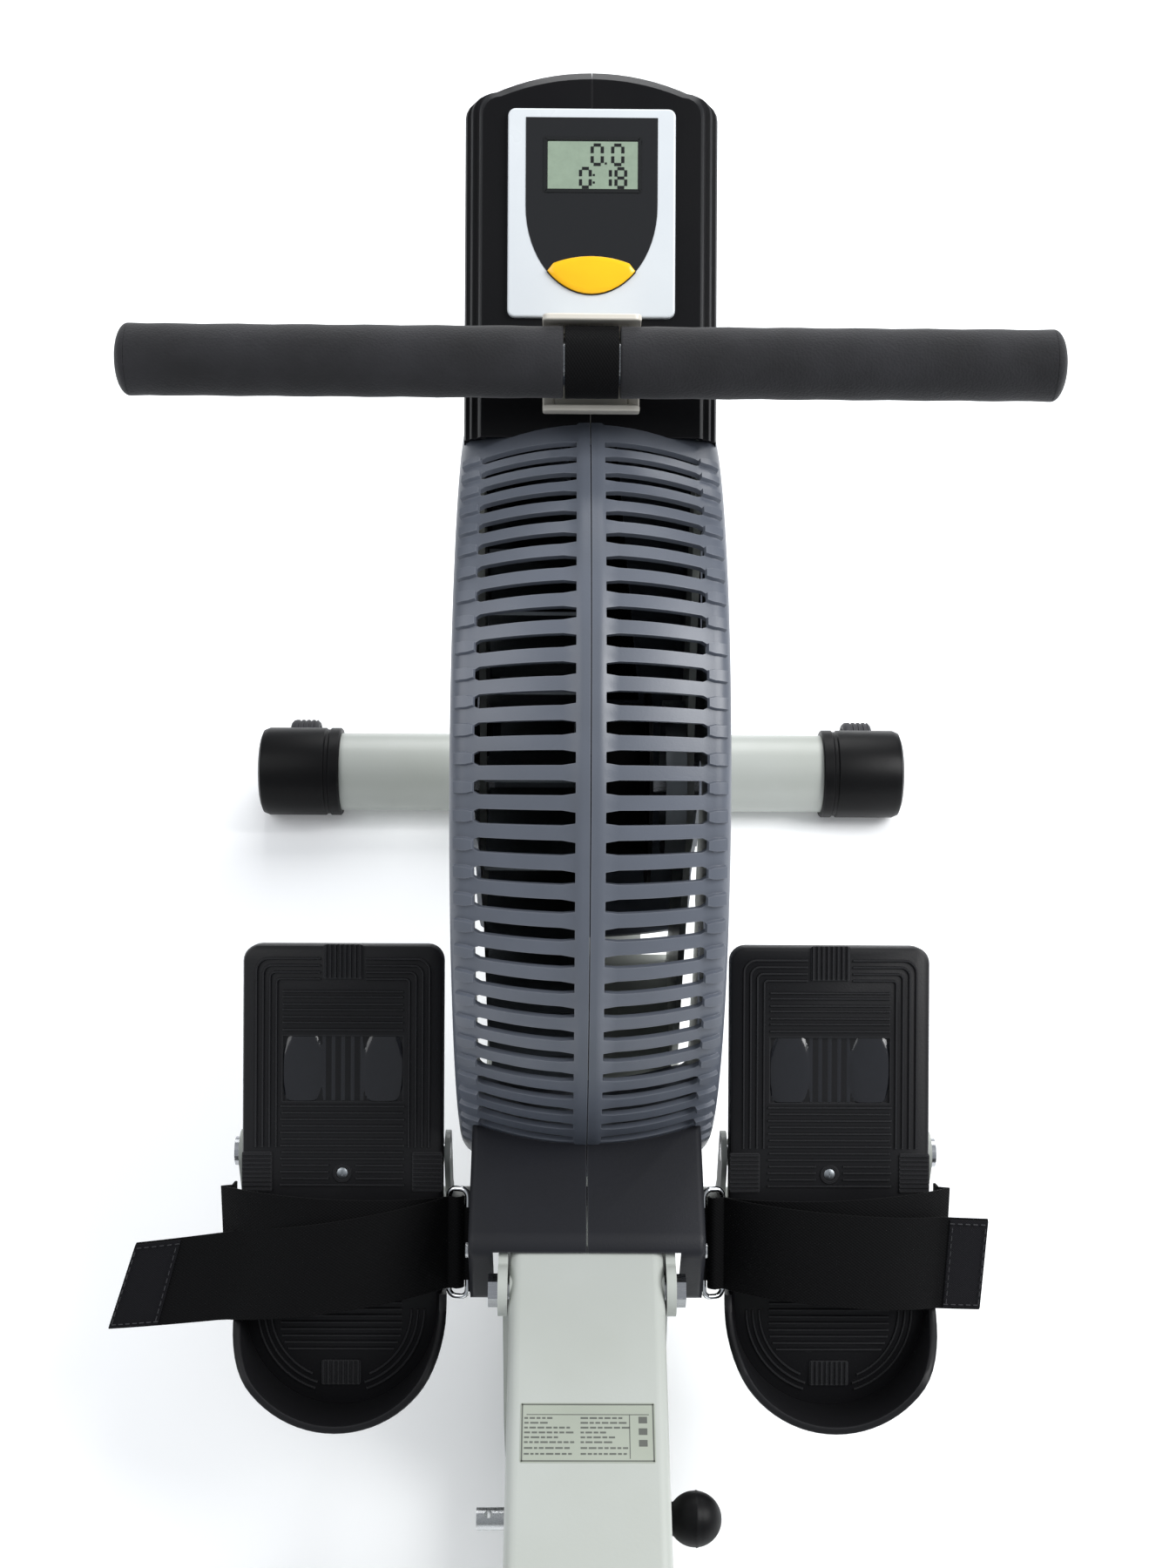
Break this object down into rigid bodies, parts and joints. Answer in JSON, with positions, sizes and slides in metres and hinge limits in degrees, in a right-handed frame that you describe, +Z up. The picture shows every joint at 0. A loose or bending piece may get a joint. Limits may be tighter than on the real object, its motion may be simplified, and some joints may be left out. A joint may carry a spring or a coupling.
{
  "type": "rowing machine",
  "caption": "Air-resistance rowing machine with a slotted fan cage, tilted console, strap handle, pivoting foot plates and a folding seat rail.",
  "frame": {"origin": "on the floor, under the middle of the whole machine's box", "axes": "+Z up, +Y from the seat towards the fan, +X to the right of a seated user who faces the fan"},
  "size_m": [0.496, 1.922, 0.6566],
  "materials": {
    "painted_steel": "satin",
    "cream_steel": "satin",
    "cage_plastic": "satin",
    "shell_plastic": "satin",
    "black_plastic": "matte",
    "foot_plastic": "satin",
    "wheel_plastic": "satin",
    "roller_plastic": "satin",
    "silver_plastic": "gloss",
    "panel_plastic": "gloss",
    "display": "gloss",
    "button_plastic": "gloss",
    "bright_steel": "polished",
    "bearing_steel": "brushed",
    "fan_aluminium": "satin",
    "foam": "matte",
    "webbing": "woven",
    "seat_skin": "satin"
  },
  "bodies": {
    "frame": {"main_beam": "painted_steel", "fan_uprights": "painted_steel", "rear_post": "painted_steel", "pedal_frame": "painted_steel", "front_stabiliser": "painted_steel", "front_end_caps": "black_plastic", "mid_stabiliser": "painted_steel", "mid_end_caps": "black_plastic", "pedal_axles": "bright_steel", "cage_left": "cage_plastic", "cage_right": "cage_plastic", "housing_left": "shell_plastic", "housing_right": "shell_plastic", "rear_cover": "shell_plastic", "shell_screws": "black_plastic", "console_case": "silver_plastic", "console_panel": "panel_plastic", "lcd": "display", "handle_bracket": "cream_steel", "strap_guide": "black_plastic", "guide_axle": "bright_steel", "fan_axle": "bright_steel", "axle_nuts": "bright_steel", "recoil_spring_case": "bearing_steel", "speed_sensor": "black_plastic", "hinge_bolt": "bright_steel"},
    "button": {"mode_button": "button_plastic"},
    "roller": {"guide_roller": "roller_plastic"},
    "fan": {"fan_wheel": "fan_aluminium", "fan_bearings": "bearing_steel"},
    "spool": {"one_way_clutch": "bearing_steel", "spool": "black_plastic", "strap_coil": "webbing"},
    "wheel_left": {"transport_wheel_left": "wheel_plastic"},
    "wheel_right": {"transport_wheel_right": "wheel_plastic"},
    "handle": {"handle_bar": "bright_steel", "grips": "foam", "handle_caps": "black_plastic", "pull_strap": "webbing"},
    "pedal_left": {"footplate_left": "foot_plastic", "pedal_bracket_left": "painted_steel", "foot_strap_left": "webbing", "strap_ring_left": "bright_steel"},
    "pedal_right": {"footplate_right": "foot_plastic", "pedal_bracket_right": "painted_steel", "foot_strap_right": "webbing", "strap_ring_right": "bright_steel"},
    "rail": {"rail": "painted_steel", "rail_end_cap": "black_plastic", "rear_foot": "painted_steel", "rear_end_caps": "black_plastic", "rail_stops": "black_plastic"},
    "pin": {"lock_pin": "bright_steel", "lock_knob": "black_plastic"},
    "seat": {"seat_pad": "seat_skin", "seat_carriage": "bearing_steel", "seat_axles": "bright_steel"},
    "seat_rollers_front": {"front_seat_rollers": "roller_plastic"},
    "seat_rollers_rear": {"rear_seat_rollers": "roller_plastic"},
    "seat_rollers_lower": {"lower_seat_rollers": "roller_plastic"}
  },
  "joints": [
    {"name": "handle_pull", "type": "slide", "parent": "frame", "child": "handle", "axis": [0, -0.989, 0.1478], "range_m": [0, 1], "stiffness_N_per_m": 15, "deforming": ["pull_strap"]},
    {"name": "spool_spin", "type": "hinge", "parent": "frame", "child": "spool", "pos_m": [0, 0.642, 0.306], "axis": [1, 0, 0], "continuous": true},
    {"name": "guide_roller_spin", "type": "hinge", "parent": "frame", "child": "roller", "pos_m": [0, 0.72146, 0.51656], "axis": [1, 0, 0], "continuous": true},
    {"name": "fan_spin", "type": "hinge", "parent": "frame", "child": "fan", "pos_m": [0, 0.642, 0.306], "axis": [1, 0, 0], "continuous": true},
    {"name": "rail_fold", "type": "hinge", "parent": "frame", "child": "rail", "pos_m": [0, 0.337, 0.248], "axis": [-1, 0, 0], "range_deg": [0, 85]},
    {"name": "lock_pin_pull", "type": "slide", "parent": "rail", "child": "pin", "axis": [1, 0, 0], "range_m": [0, 0.045]},
    {"name": "seat_slide", "type": "slide", "parent": "rail", "child": "seat", "axis": [0, 1, 0], "range_m": [-0.47, 0.34]},
    {"name": "front_seat_rollers_spin", "type": "hinge", "parent": "seat", "child": "seat_rollers_front", "pos_m": [0, -0.233, 0.2734], "axis": [1, 0, 0], "continuous": true},
    {"name": "rear_seat_rollers_spin", "type": "hinge", "parent": "seat", "child": "seat_rollers_rear", "pos_m": [0, -0.383, 0.2734], "axis": [1, 0, 0], "continuous": true},
    {"name": "lower_seat_rollers_spin", "type": "hinge", "parent": "seat", "child": "seat_rollers_lower", "pos_m": [0, -0.308, 0.2076], "axis": [1, 0, 0], "continuous": true},
    {"name": "pedal_left_tilt", "type": "hinge", "parent": "frame", "child": "pedal_left", "pos_m": [-0.134, 0.4385, 0.2219], "axis": [1, 0, 0], "range_deg": [-20, 0]},
    {"name": "pedal_right_tilt", "type": "hinge", "parent": "frame", "child": "pedal_right", "pos_m": [0.134, 0.4385, 0.2219], "axis": [1, 0, 0], "range_deg": [-20, 0]},
    {"name": "mode_button_press", "type": "slide", "parent": "frame", "child": "button", "axis": [0, 0.682, -0.7314], "range_m": [0, 0.0015], "stiffness_N_per_m": 600},
    {"name": "transport_wheel_left_spin", "type": "hinge", "parent": "frame", "child": "wheel_left", "pos_m": [-0.217, 0.939, 0.028], "axis": [1, 0, 0], "continuous": true},
    {"name": "transport_wheel_right_spin", "type": "hinge", "parent": "frame", "child": "wheel_right", "pos_m": [0.217, 0.939, 0.028], "axis": [1, 0, 0], "continuous": true}
  ],
  "couplings": [
    {"joint": "spool_spin", "follows": "handle_pull", "rad_per_m": 20.833},
    {"joint": "guide_roller_spin", "follows": "handle_pull", "rad_per_m": 62.5},
    {"joint": "front_seat_rollers_spin", "follows": "seat_slide", "rad_per_m": -66.667},
    {"joint": "rear_seat_rollers_spin", "follows": "seat_slide", "rad_per_m": -66.667},
    {"joint": "lower_seat_rollers_spin", "follows": "seat_slide", "rad_per_m": 100}
  ]
}
